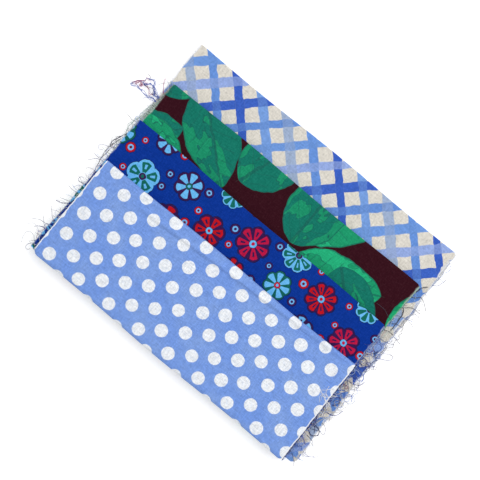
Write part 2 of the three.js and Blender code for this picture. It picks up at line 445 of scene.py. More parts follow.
@dataclass(frozen=True)
class CheckPrint:
    """A plain slanting check of blue bands on cream, dyed over each other."""

    pitch: float = 16.4
    band: float = 6.4
    wider: float = 0.9
    over: float = 0.62
    brushed: float = 0.07
    cream: Colour = (222, 217, 207)
    rising: tuple[Colour, ...] = ((104, 147, 219), (58, 96, 194), (120, 160, 224), (160, 178, 208))
    falling: tuple[Colour, ...] = ((112, 154, 222), (150, 172, 226), (62, 100, 196), (100, 142, 214))

    def bands(
        self, cloth: ClothFinish, along: Wire, wobble: Wire, seed: float, colours: tuple[Colour, ...],
    ) -> tuple[Wire, Wire]:
        """One set of parallel bands.

        Args:
            cloth: The finish.
            along: Distance across the bands.
            wobble: How far the bands' edges waver.
            seed: Which set it is.
            colours: The bands' colours, in their order.

        Returns:
            Where the bands are, and their colour.
        """
        number = (along / self.pitch).floor()
        middle = (number + 0.5) * self.pitch
        size = cloth.chance(number, number * 0.0, seed)[0]
        half = size * self.wider + (self.band - self.wider) / 2
        inside = abs(along - middle + wobble).under(half, 0.3)
        turn = (number / len(colours)).fraction() + 0.5 / len(colours)
        return inside, cloth.picked(turn, colours)

    def paint(self, cloth: ClothFinish) -> Wire:
        """The printed colour at each place of the flat cloth.

        Args:
            cloth: The finish that it goes into.

        Returns:
            The colour.
        """
        up, down = (cloth.x + cloth.y) * math.sqrt(0.5), (cloth.x - cloth.y) * math.sqrt(0.5)
        wobble = cloth.uneven(4.0, 0.13, 1.0) * 1.1 + cloth.uneven(7.0, 0.5, 1.0) * 0.25
        rising, rising_colour = self.bands(cloth, up, wobble, 1.0, self.rising)
        falling, falling_colour = self.bands(cloth, down, wobble, 2.0, self.falling)
        brush = 1.0 + cloth.noise(up * 0.5, down * 0.12, 3.0) * self.brushed
        crossed = 0.94 + cloth.noise(up * 0.12, down * 0.5, 6.0) * self.brushed
        ground = cloth.mixed(rising, self.cream, cloth.shaded(rising_colour, brush))
        crossing = cloth.mixed(self.over, ground, cloth.shaded(falling_colour, crossed))
        over = cloth.mixed(rising, cloth.shaded(falling_colour, brush), crossing)
        return cloth.mixed(falling, ground, over)


@dataclass(frozen=True)
class LeafPrint:
    """Large plain leaves with a midrib and side veins, marbled in greens, on maroon.

    There is a layer of leaves for each slant, and bare is the share of a layer's places that has no leaf.
    start and shift move the layers, lean is how far leaves tilt, waviness and roundness shape their edges,
    taper makes the tip narrower than the base, rib is the distance between side veins, rib_slant how far
    these lean, and marked how strongly the lines of a leaf show.
    """

    length: float = 74.0
    breadth: float = 44.0
    slants: tuple[float, ...] = (34.0, -30.0, 80.0)
    bare: tuple[float, ...] = (0.42, 0.5, 0.62)
    start: float = 52.0
    shift: tuple[float, float] = (17.0, 9.0)
    lean: float = 0.5
    waviness: float = 2.6
    roundness: float = 0.66
    taper: float = 0.24
    rib: float = 10.0
    rib_slant: float = 0.8
    marked: float = 0.7
    maroon: Colour = (52, 8, 22)
    greens: tuple[Colour, ...] = ((22, 146, 98), (16, 118, 101), (26, 152, 106), (22, 126, 98))
    lights: tuple[Colour, ...] = ((30, 166, 110), (24, 144, 104), (34, 176, 122), (26, 156, 102))
    dark: Colour = (24, 98, 88)

    def layer(self, cloth: ClothFinish, number: int, below: Wire | Colour) -> Wire:
        """One layer of leaves over what is printed below it.

        Args:
            cloth: The finish.
            number: Which layer it is.
            below: The colour under it.

        Returns:
            The colour with the layer.
        """
        turn = math.radians(self.slants[number])
        along = cloth.x * math.cos(turn) + cloth.y * math.sin(turn) + number * self.shift[0] + self.start
        aside = cloth.y * math.cos(turn) - cloth.x * math.sin(turn) + number * self.shift[1]
        cell = repeat(along, aside, self.length + 2.0, self.breadth + 1.0)
        kept, tone, tilt = cloth.chance(cell.column, cell.row, number + 1.0)
        lean = (tilt - 0.5) * self.lean
        tip = (cell.x + cell.y * lean) / (self.length / 2)
        wave = cloth.uneven(number + 1.0, 0.07) * self.waviness
        side = cell.y - cell.x * lean + wave
        width = (1.0 - tip * tip).most(0.0) ** self.roundness * (0.96 - tip * self.taper)
        width = width * (self.breadth / 2)
        inside = abs(side) - width
        leaf = inside.under(0.0, 0.4) * kept.rise(self.bare[number], self.bare[number] + 0.01)
        marbled = cloth.noise(along * 0.035, aside * 0.075, number + 5.0)
        deep, light = (cloth.picked(tone, colours) for colours in (self.greens, self.lights))
        body = cloth.mixed(marbled.rise(0.03, 0.05), deep, light)
        ribs = abs(((cell.x - abs(side) * self.rib_slant + wave) / self.rib).fraction() - 0.5)
        veins = ribs.under(0.045, 0.04) * (inside + width * 0.2).under(0.0, 2.0) * 0.45
        midrib = abs(side).under((0.9 - tip * 0.4).most(0.15), 0.3)
        contour = abs(marbled - 0.03).under(0.012, 0.012)
        marks = veins.most(midrib.most(contour).most(inside.rise(-1.0, -0.6)) * self.marked)
        return cloth.mixed(leaf, below, cloth.mixed(marks, body, self.dark))

    def paint(self, cloth: ClothFinish) -> Wire:
        """The printed colour at each place of the flat cloth.

        Args:
            cloth: The finish that it goes into.

        Returns:
            The colour.
        """
        colour = self.maroon
        for number in range(len(self.slants)):
            colour = self.layer(cloth, number, colour)
        return colour


@dataclass(frozen=True)
class FlowerPrint:
    """Daisies, round blossoms and small rings on cobalt blue."""

    column: float = 31.0
    row: float = 28.0
    start: tuple[float, float] = (21.0, 20.0)
    radius: float = 12.7
    jitter: float = 4.0
    ring: float = 3.4
    line: float = 0.3
    cobalt: Colour = (2, 51, 147)
    petals: tuple[Colour, ...] = (
        (104, 184, 240), (190, 16, 28), (14, 104, 92), (104, 184, 240), (186, 18, 66), (104, 184, 240),
    )
    discs: tuple[Colour, ...] = (
        (54, 20, 76), (54, 20, 76), (104, 184, 240), (13, 54, 148), (54, 20, 76), (14, 96, 88),
    )
    middles: tuple[Colour, ...] = (
        (14, 104, 92), (104, 184, 240), (54, 20, 76), (190, 18, 36), (104, 184, 240), (186, 18, 56),
    )
    rims: tuple[Colour, ...] = ((180, 18, 44), (60, 24, 90))
    sky: Colour = (112, 184, 240)
    hearts: tuple[Colour, ...] = ((110, 14, 40), (56, 22, 84))
    ink: Colour = (16, 14, 46)

    def paint(self, cloth: ClothFinish) -> Wire:
        """The printed colour at each place of the flat cloth.

        Args:
            cloth: The finish that it goes into.

        Returns:
            The colour.
        """
        cell = repeat(cloth.x + self.start[0], cloth.y + self.start[1], self.column, self.row)
        kind, size, twist = cloth.chance(cell.column, cell.row, 16.0)
        aside, up = cell.x + (twist - 0.5) * self.jitter, cell.y + (size - 0.5) * self.jitter
        far = aside.beside(up) + cloth.uneven(8.0, 0.45, 1.0) * 0.45
        edge = (0.72 + size * 0.28) * self.radius
        count = (twist * 4.0).floor() + 5.0
        swing = abs(((up.angle_to(aside) + twist * 6.0) * count * 0.5).cosine())
        outline = edge * (0.82 + (swing**0.7) * 0.18)
        out = far / edge
        petal = (swing - 0.5 - out * 0.1).rise(-0.07, 0.07) * out.rise(0.22, 0.26)
        petal = petal * (far - outline * (0.84 + twist * 0.08)).under(0.0, self.line)
        stripe = (swing - 0.955).rise(-0.02, 0.02) * out.rise(0.42, 0.46)
        stripe = stripe * (far - outline * 0.72).under(0.0, self.line) * size.rise(0.5, 0.51)
        picks = (self.petals, self.discs, self.middles)
        petals, discs, middles = (cloth.picked(kind, colours) for colours in picks)
        flower = cloth.mixed(stripe, cloth.mixed(petal, discs, petals), discs)
        flower = cloth.mixed(out.under(0.21, 0.03), flower, middles)
        flower = cloth.mixed(out.under(0.1, 0.03), flower, petals)
        inked = (far - outline - 0.5).under(0.0, self.line) * 0.8
        ground = cloth.mixed(inked, self.rings(cloth, 23.0, self.cobalt), self.ink)
        return cloth.mixed((far - outline).under(0.0, self.line), ground, flower)

    def rings(self, cloth: ClothFinish, seed: float, below: Colour) -> Wire:
        """Small ringed spots between the daisies.

        Args:
            cloth: The finish.
            seed: Which draw they are.
            below: The colour under them.

        Returns:
            The colour with the rings.
        """
        x, y = cloth.x + self.column * 0.5, cloth.y + self.row * 0.25
        cell = repeat(x + self.start[0], y + self.start[1], self.column, self.row / 2)
        kind, aside, up = cloth.chance(cell.column, cell.row, seed)
        far = (cell.x + aside * 5.0 - 2.5).beside(cell.y + up * 4.0 - 2.0) / (0.7 + aside * 0.35)
        far = far + cloth.noise(x * 0.6, y * 0.6, seed, 1.0) * 0.35
        layers = (
            (self.ring + 0.4, self.ink),
            (self.ring, cloth.picked(kind, self.rims)),
            (self.ring * 0.6, self.sky),
            (self.ring * 0.3, cloth.picked(kind, self.hearts)),
        )
        for reach, colour in layers:
            below = cloth.mixed(far.under(reach, 0.25), below, colour)
        return below


@dataclass(frozen=True)
class PaintedCreaseShade:
    """Painted shade along one side of a crease line and a painted highlight along the other, multiplied into
    the cloth's colour.
    """

    start: tuple[float, float]
    stop: tuple[float, float]
    width: float = 2.6
    dark: float = 0.14
    pale: float = 0.04
    fade: float = 30.0

    def shade(self, cloth: ClothFinish, uneven: Wire) -> Wire:
        """What the painted crease shade and highlight multiply the cloth's colour by.

        Args:
            cloth: The finish that it goes into.
            uneven: Noise that bends the line and breaks it up.

        Returns:
            The number at each place, about 1.
        """
        run = (self.stop[0] - self.start[0], self.stop[1] - self.start[1])
        aside = (cloth.y - self.start[1]) * run[0] - (cloth.x - self.start[0]) * run[1]
        aside = aside / math.hypot(*run) + uneven
        within = (cloth.x - self.start[0]).rise(0.0, self.fade)
        within = within * (self.stop[0] - cloth.x).rise(0.0, self.fade)
        # Painted shade on the crease's shaded side, painted highlight on its lit side.
        dark = abs(aside).under(self.width * 0.35, self.width) * (1.0 + uneven * 0.5)
        pale = abs(aside - self.width * 1.1).under(self.width * 0.5, self.width)
        return 1.0 + (pale * self.pale - dark * self.dark) * within


@dataclass(frozen=True)
class PrintedCotton:
    """Plain weave quilting cotton with a print on its right side.

    worn_ends says how pale the raw ends are, and worn_width how far in. slubs, mottle and nap are how much
    the light of the cloth varies from thread to thread, place to place and fibre to fibre.
    """

    name: str
    print_on_it: DotPrint | CheckPrint | LeafPrint | FlowerPrint
    yarn: Colour = (236, 238, 242)
    worn_ends: float = 0.85
    worn_width: float = 0.45
    # Painted shade and highlight of creases, multiplied into the printed colour.
    folds: tuple[PaintedCreaseShade, ...] = ()
    weave: float = 0.42
    slubs: float = 0.3
    mottle: float = 0.06
    nap: float = 0.26
    fibres: float = 0.012
    wrong_side: float = 0.45
    relief: float = 0.1 * MM

    def material(self) -> bpy.types.Material:
        """The cloth's material.

        Returns:
            The material.
        """
        cloth = ClothFinish(self.name)
        from_end, right_side = cloth.place("edge")
        warp, weft = cloth.uneven(31.0, 0.22, 4.0, 1.1), cloth.uneven(37.0, 1.1, 4.0, 0.22)
        soft, nap = cloth.uneven(41.0, 0.16, 5.0), cloth.uneven(43.0, 0.9, 3.0)
        grain_and_painted_shade = 1.0 + (warp + weft) * self.slubs + soft * self.mottle + nap * self.nap
        # Multiplies in the painted shade and highlight of the creases.
        for fold in self.folds:
            grain_and_painted_shade = grain_and_painted_shade * fold.shade(cloth, soft)
        printed = cloth.shaded(self.print_on_it.paint(cloth), grain_and_painted_shade)
        behind = cloth.mixed(self.wrong_side, printed, self.yarn)
        colour = cloth.mixed(right_side.rise(0.4, 0.6), behind, printed)
        colour = cloth.mixed((nap + warp + weft).most(0.0) * self.fibres, colour, self.yarn)
        worn = (from_end + weft * 0.4).under(self.worn_width, 0.5) * self.worn_ends
        cloth.cover({
            "Base Color": cloth.mixed(worn, colour, self.yarn),
            "Roughness": 0.88 + warp * 0.05,
            "Specular IOR Level": 0.1,
            "Sheen Weight": 0.03,
            "Sheen Roughness": 0.5,
        })
        over, under = ((way * (math.pi / self.weave)).sine() for way in (cloth.x, cloth.y))
        crossing = over * under * 0.25
        woven = abs(over) * (0.5 + crossing) + abs(under) * (0.5 - crossing)
        cloth.bump(woven + (warp + weft) * 1.1 + (nap + soft) * 0.8, self.relief, 0.8)
        return cloth.material


@dataclass(frozen=True)
class LooseYarn:
    """Cotton yarn pulled out of the weave, in the colours of one cut."""

    name: str
    colours: tuple[Colour, ...]
    twist: float = 0.9
    relief: float = 0.02 * MM

    def material(self) -> bpy.types.Material:
        """The yarn's material.

        Returns:
            The material.
        """
        yarn = Finish(self.name)
        tone, along = yarn.place("flat")
        worn = 1.0 + yarn.noise(along * 0.8, tone * 50.0, 3.0) * 0.12
        yarn.cover({
            "Base Color": yarn.shaded(yarn.picked(tone, self.colours), worn),
            "Roughness": 0.85 + yarn.noise(along, tone * 20.0, 5.0) * 0.08,
            "Specular IOR Level": 0.2,
            "Sheen Weight": 0.2,
        })
        yarn.bump((along * (TAU / self.twist) + tone * 30.0).sine(), self.relief, 0.5)
        return yarn.material


@dataclass(frozen=True)
class Crease:
    """A soft trough or ridge that folding left in the cloth, from one place to another.

    width is how wide its side toward the near folds is, and slope how many times as wide the other one is.
    The plies below share in it less the larger fades is.
    """

    start: tuple[float, float]
    stop: tuple[float, float]
    width: float
    depth: float
    slope: float = 1.0
    fades: float = 1.0

    def height(self, x: Array, y: Array) -> Array:
        """How far the crease lifts the cloth.

        Args:
            x: Places along the cut.
            y: Places across it.

        Returns:
            The rise at each place, below nought in a trough.
        """
        run = np.subtract(self.stop, self.start)
        along = ((x - self.start[0]) * run[0] + (y - self.start[1]) * run[1]) / (run @ run)
        aside = ((x - self.start[0]) * run[1] - (y - self.start[1]) * run[0]) / math.hypot(*run)
        fade = np.clip(1.0 - np.abs(2.0 * along - 1.0) ** 3, 0.0, 1.0) * (np.abs(along - 0.5) < 0.5)
        away = (aside + 0.8 * waver(along * 2.0, self.depth)) / self.width
        away = np.where(away < 0.0, away / self.slope, away)
        return self.depth * fade * np.exp(-(away**2))


@dataclass(frozen=True)
class RawEnds:
    """x of a cut's two raw ends at its near and its far folds."""

    left_near: float
    left_far: float
    right_near: float
    right_far: float

    def at(self, end: End, along: Array) -> Array:
        """x of one raw end at each share of the way from the near folds to the far ones."""
        near, far = (self.left_near, self.left_far) if end is End.LEFT else (self.right_near, self.right_far)
        return near + (far - near) * along


@dataclass
class FoldedCut:
    """One cut of cloth, folded back and forth to a strip, as one thin closed sheet.

    levels counts each ply's place up from the underside, in the order in which the cloth runs. The first
    fold lies on the side in first_turn and the others alternate. near and far give y of the outermost
    folds at the left and the right raw end. The cloth was doubled first, and the inner end of the doubled
    strip, at the fold in short_turn, stops short at short_y. uneven says how far hidden plies stick out
    past the top one at the two raw ends, from least to most, ragged how rough the raw ends are, flare how
    far they lift, and corners how far the folds draw in at near left, near right, far left and far right.
    wander and its waves bend the lines of the folds, bulge is how round they are, and flutter how far the
    loose plies ripple. The other waves are lengths of unevenness, and flare_reach is how far in the raw ends
    lift. close gives the distances of the stations next to them.
    """

    name: str
    base: float
    height: float
    levels: tuple[int, ...]
    first_turn: Side
    near: tuple[float, float]
    far: tuple[float, float]
    ends: RawEnds
    short_turn: int
    short_y: float
    free_y: tuple[float, float]
    uneven: dict[End, tuple[float, float]]
    wave: float
    seed: float
    creases: tuple[Crease, ...] = ()
    corners: tuple[float, ...] = (0.8, 0.8, 0.8, 0.8)
    ragged: dict[End, float] = field(default_factory=dict)
    flare: dict[End, float] = field(default_factory=lambda: {End.LEFT: 0.0, End.RIGHT: 0.0})
    wander: float = 0.5
    wander_waves: float = 1.6
    bulge: float = 0.9
    flutter: float = 0.3
    rough_wave: float = 2.3
    slow_wave: float = 17.0
    ripple_waves: tuple[float, float] = (61.0, 47.0)
    flare_wave: float = 13.0
    flare_reach: float = 5.0
    stations: int = 76
    fine_steps: int = 72
    coarse_steps: int = 12
    turn_steps: int = 7
    close: tuple[float, ...] = (0.0, 0.35, 0.8, 1.3, 1.9, 2.6, 3.4, 4.4, 5.6, 7.0)

    @property
    def pitch(self) -> float:
        """Height from the middle of one ply to the next."""
        return (self.height - CLOTH) / (len(self.levels) - 1)

    @property
    def top_ply(self) -> int:
        """The place in the cloth's run of the ply on top."""
        return self.levels.index(len(self.levels) - 1)

    def side(self, turn: int) -> Side:
        """The side that a fold lies on."""
        other = Side.FAR if self.first_turn is Side.NEAR else Side.NEAR
        return self.first_turn if turn % 2 == 0 else other

    def span(self, turn: int) -> tuple[int, int]:
        """The lower and the upper level that a fold joins."""
        return tuple(sorted(self.levels[turn : turn + 2]))

    def around(self, turn: int) -> int:
        """Finds the outermost fold that goes round another.

        Args:
            turn: Which fold is inside.

        Returns:
            The fold round it, or the fold itself.
        """
        low, high = self.span(turn)
        same = [other for other in range(len(self.levels) - 1) if self.side(other) is self.side(turn)]
        found = [other for other in same if self.span(other)[0] <= low and self.span(other)[1] >= high]
        return max(found, key=lambda other: self.span(other)[1] - self.span(other)[0])

    def along(self, y: Array) -> Array:
        """Shares of the way from the near folds to the far ones."""
        return (y - self.near[0]) / (self.far[0] - self.near[0])

    def holds(self, x: Array, y: Array) -> Array:
        """Whether the cut covers each place.

        Args:
            x: Places along the cut.
            y: Places across it.

        Returns:
            True or false at each place.
        """
        along = self.along(y)
        left, right = (self.ends.at(end, along) for end in End)
        return (x > left) & (x < right) & (along > 0) & (along < 1)

    def drawn_in(self, side: Side, s: Array) -> Array:
        """How far a fold's line draws in at the corners.

        Args:
            side: The side of the fold.
            s: Share of the way along the cut.

        Returns:
            The distance at each share.
        """
        left, right = self.corners[:2] if side is Side.NEAR else self.corners[2:]
        width = self.ends.right_near - self.ends.left_near
        at_left = np.clip(1.0 - s * width / (0.8 + 1.2 * left), 0.0, 1.0) ** 2
        at_right = np.clip(1.0 - (1.0 - s) * width / (0.8 + 1.2 * right), 0.0, 1.0) ** 2
        return left * at_left + right * at_right

    def turn_y(self, turn: int, s: Array) -> Array:
        """y of the middle of one fold's half circle.

        Args:
            turn: Which fold.
            s: Share of the way along the cut.

        Returns:
            y at each share.
        """
        if turn == self.short_turn:
            return self.short_y + 0.8 * waver(s * 2.0, self.seed)
        side, outer = self.side(turn), self.around(turn)
        low, high = self.span(outer)
        edge = self.near if side is Side.NEAR else self.far
        line = edge[0] + (edge[1] - edge[0]) * s
        line = line + self.wander * np.sin(TAU * (self.wander_waves * s + self.wave + 0.3 * side.value))
        shows = len(self.levels) - 1 in (low, high) or outer == 0
        hidden = 0.0 if shows else 0.5 + 1.4 * share(self.seed + outer)
        slack = 0.0 if outer == turn else 0.5 * share(self.seed + 7 * turn)
        radius = (high - low) * self.pitch / 2 * self.bulge + CLOTH / 2
        return line - side.value * (radius + hidden + slack + self.drawn_in(side, s))

    def out(self, end: End, turn: int) -> float:
        """How far a ply's raw end sticks out at one fold.

        Args:
            end: Which raw end.
            turn: Which fold.

        Returns:
            The distance past the top ply's line.
        """
        if turn in (self.top_ply - 1, self.top_ply):
            return 0.0
        least, most = self.uneven[end]
        return least + (most - least) * share(self.seed * 3 + turn * 5 + end.value)

    def raw_end(self, end: End, y: Array, out: Array, ply: Array) -> Array:
        """x of the raw end of the cloth.

        Args:
            end: Which end.
            y: Places across the cut.
            out: How far the ply sticks out there.
            ply: Which ply each place is on.

        Returns:
            x at each place.
        """
        rough = waver(y / self.rough_wave + ply * 17.3, self.seed + end.value)
        slow = waver(y / self.slow_wave + ply * 5.1, self.seed + 3 * end.value)
        out = out + self.ragged[end] * rough + 1.5 * self.ragged[end] * slow
        return self.ends.at(end, np.clip(self.along(y), 0.0, 1.0)) + end.value * out

    def lift(self, x: Array, y: Array, level: Array) -> Array:
        """How far the cloth lies above its nominal height.

        Args:
            x: Places along the cut.
            y: Places across it.
            level: Their nominal height above the cut's underside, as a share of the cut's height.

        Returns:
            The rise at each place.
        """
        s = (x - self.ends.left_far) / (self.ends.right_far - self.ends.left_far)
        z = self.base + level * self.height
        swell = TOP_SWELL * (z / STACK_HEIGHT) * np.sin(TAU * SWELL_WAVES * s)
        loose = self.flutter * (self.pitch - CLOTH) * level
        waves = x / self.ripple_waves[0] + y / self.ripple_waves[1] + self.wave
        ripple = loose * np.sin(TAU * waves + 1.7 * level * len(self.levels))
        pressed = np.zeros_like(x)
        for crease in self.creases:
            pressed = pressed + crease.height(x, y) * level**crease.fades
        for end in End:
            inward = (self.ends.at(end, self.along(y)) - x) * end.value
            loosened = np.clip(1.0 - inward / self.flare_reach, 0.0, 1.6) ** 2
            uneven = 0.55 + 0.45 * waver(y / self.flare_wave, self.seed)
            pressed = pressed + self.flare[end] * level * loosened * uneven
        return swell + ripple + pressed

    def section(self, s: Array) -> dict[str, Array]:
        """The middle line of the folded section at each station, from one selvedge to the other.

        Args:
            s: The stations, as shares of the way along the cut.

        Returns:
            Arrays of y, z, the two parts of the normal, how far the two raw ends stick out, the ply and
            the distance along the cloth, each with a row for a station.
        """
        last = len(self.levels) - 1
        rows = {key: [] for key in ("y", "z", "normal_y", "normal_z", "left", "right", "ply")}

        def add(*values: Array | float) -> None:
            """Adds one point of the section at every station."""
            for row, value in zip(rows.values(), values):
                row.append(np.broadcast_to(value, s.shape))

        y, outs = np.full_like(s, self.free_y[0]), [self.out(end, -1) for end in End]
        for ply, level in enumerate(self.levels):
            side = self.side(ply)
            z = CLOTH / 2 + level * self.pitch
            target = self.turn_y(ply, s) if ply < last else np.full_like(s, self.free_y[1])
            next_outs = [self.out(end, ply) for end in End]
            steps = self.fine_steps if ply == self.top_ply else self.coarse_steps
            for k in range(steps + (ply == last)):
                part = k / steps
                reach = [out + (next_out - out) * part for out, next_out in zip(outs, next_outs)]
                add(y + (target - y) * part, z, 0.0, side.value, *reach, ply)
            if ply < last:
                next_z = CLOTH / 2 + self.levels[ply + 1] * self.pitch
                radius, up = abs(next_z - z) / 2, np.sign(next_z - z)
                for k in range(self.turn_steps):
                    angle = math.pi * k / self.turn_steps
                    bent_y = target + side.value * self.bulge * radius * math.sin(angle)
                    bent_z = z + (next_z - z) * (1 - math.cos(angle)) / 2
                    normal = (-up * math.sin(angle), side.value * math.cos(angle))
                    add(bent_y, bent_z, *normal, *next_outs, ply + k / self.turn_steps)
            y, outs = target, next_outs
        line = {key: np.stack(value, axis=1) for key, value in rows.items()}
        steps = np.hypot(np.diff(line["y"], axis=1), np.diff(line["z"], axis=1))
        run = np.concatenate([np.zeros((len(s), 1)), np.cumsum(steps, axis=1)], axis=1)
        first = int(np.argmax(line["ply"][0] >= self.top_ply))
        toward = self.side(self.top_ply).value
        line["flat"] = line["y"][:, first : first + 1] + toward * (run - run[:, first : first + 1])
        return line

    def places(self) -> Array:
        """The stations along the cut, closer together by the raw ends.

        Returns:
            The stations, as shares of the way along the cut.
        """
        close = np.array(self.close) / (self.ends.right_near - self.ends.left_near)
        even = np.linspace(close[-1], 1 - close[-1], self.stations)[1:-1]
        return np.concatenate([close, even, 1 - close[::-1]])

    def build(self) -> bpy.types.Object:
        """Makes the folded cloth.

        Returns:
            The piece.
        """
        s = self.places()
        line = self.section(s)
        left, right = (self.raw_end(end, line["y"], line[end.word], line["ply"]) for end in End)
        x = left + (right - left) * s[:, None]
        z = self.base + line["z"] + self.lift(x, line["y"], line["z"] / self.height)
        middle = np.stack([x, line["y"], z], axis=2)
        normal = np.stack([np.zeros_like(x), line["normal_y"], line["normal_z"]], axis=2)
        # The right side of the print is the one that lies upward on the top ply.
        print_up = self.side(self.top_ply).value
        points = np.concatenate([(middle + sign * CLOTH / 2 * normal).reshape(-1, 3) for sign in (1, -1)])
        flat = np.stack([x, line["flat"]], axis=2).reshape(-1, 2)
        from_end = np.minimum(x - left, right - x).reshape(-1)
        sides = [np.stack([from_end, np.full_like(from_end, sign == print_up)], axis=1) for sign in (1, -1)]
        maps = {"flat": np.concatenate([flat, flat]), "edge": np.concatenate(sides)}
        return closed_mesh(f"{self.name}_cloth", points, self.faces(*x.shape), maps)

    def faces(self, rows: int, columns: int) -> list:
        """The faces of a sheet with an upper and a lower side.

        Args:
            rows: Stations along the cut.
            columns: Points across the section.

        Returns:
            The faces, pointing out.
        """
        grid = np.arange(rows * columns).reshape(rows, columns)
        under = grid + rows * columns
        parts = [
            (grid[:-1, :-1], grid[1:, :-1], grid[1:, 1:], grid[:-1, 1:]),
            (under[:-1, 1:], under[1:, 1:], under[1:, :-1], under[:-1, :-1]),
            (under[:-1, 0], under[1:, 0], grid[1:, 0], grid[:-1, 0]),
            (grid[:-1, -1], grid[1:, -1], under[1:, -1], under[:-1, -1]),
            (grid[0, :-1], grid[0, 1:], under[0, 1:], under[0, :-1]),
            (under[-1, :-1], under[-1, 1:], grid[-1, 1:], grid[-1, :-1]),
        ]
        quads = [np.stack(corners, axis=-1).reshape(-1, 4) for corners in parts]
        return [tuple(face) for face in np.concatenate(quads).tolist()]


@dataclass(frozen=True)
class Thread:
    """One loose yarn: its path in the layout, its radius and the number that picks its colour."""

    path: Array
    radius: float
    tone: float


def bundle(name: str, threads: list[Thread]) -> bpy.types.Object:
    """Many loose yarns as one mesh of three sided tubes, a little thinner toward their tips.

    Args:
        name: The piece's name.
        threads: The yarns.

    Returns:
        The piece.
    """
    points, faces, places, count = [], [], [], 0
    for thread in threads:
        path, length = thread.path, len(thread.path)
        run = np.gradient(path, axis=0)
        run /= np.linalg.norm(run, axis=1, keepdims=True)
        aside = np.cross(run, [0.0, 0.0, 1.0])
        aside /= np.maximum(np.linalg.norm(aside, axis=1, keepdims=True), 1e-6)
        up = np.cross(aside, run)
        taper = np.linspace(1.0, 0.7, length)[:, None] * thread.radius
        angles = (TAU / 4, TAU * 7 / 12, TAU * 11 / 12)
        ring = [path + taper * (math.cos(angle) * aside + math.sin(angle) * up) for angle in angles]
        points.append(np.stack(ring, axis=1).reshape(-1, 3))
        far = np.concatenate([[0.0], np.cumsum(np.linalg.norm(np.diff(path, axis=0), axis=1))])
        places.append(np.stack([np.full(length * 3, thread.tone), np.repeat(far, 3)], axis=1))
        for low in range(count, count + 3 * (length - 1), 3):
            for a, b in ((0, 1), (1, 2), (2, 0)):
                faces.append((low + a, low + 3 + a, low + 3 + b, low + b))
        faces.append((count, count + 1, count + 2))
        count += 3 * length
        faces.append((count - 1, count - 2, count - 3))
    return closed_mesh(name, np.concatenate(points), faces, {"flat": np.concatenate(places)}, 180.0)


def through(places: tuple[float, ...], step: float) -> Array:
    """A smooth path through given places.

    Args:
        places: x and y of each place, in order.
        step: Distance from one point of the path to the next.

    Returns:
        The path.
    """
    known = np.array(places, dtype=float).reshape(-1, 2)
    known = np.vstack([2 * known[0] - known[1], known, 2 * known[-1] - known[-2]])
    parts = []
    for a, b, c, d in zip(known, known[1:], known[2:], known[3:]):
        t = np.linspace(0.0, 1.0, max(2, int(np.linalg.norm(c - b) / step)), endpoint=False)[:, None]
        bends = (c - a) * t + (2 * a - 5 * b + 4 * c - d) * t * t + (3 * b - a - 3 * c + d) * t**3
        parts.append(b + bends / 2)
    return np.vstack([*parts, known[-2]])


@dataclass(frozen=True)
class Fringe:
    """A stretch of raw end that has lost its crosswise yarns, so that the lengthwise ones stand free."""

    low: float
    high: float
    spacing: float
    length: float
    plies: int = 2
    spread: float = 0.18
    darkest: float = 0.5


@dataclass(frozen=True)
class Stray:
    """One long loose yarn: the places it passes, x and y in turn, and its colour's number.

    copies is how many yarns run along together, each wavering by itself. With on_top they lie on their own
    cut. lifted is the height above the cut's underside, or its top, at the first and the last place.
    """

    places: tuple[float, ...]
    tone: float
    copies: int = 1
    lifted: tuple[float, float] = (2.0, 1.0)
    waver: float = 0.25
    radius: float = 0.2
    on_top: bool = False


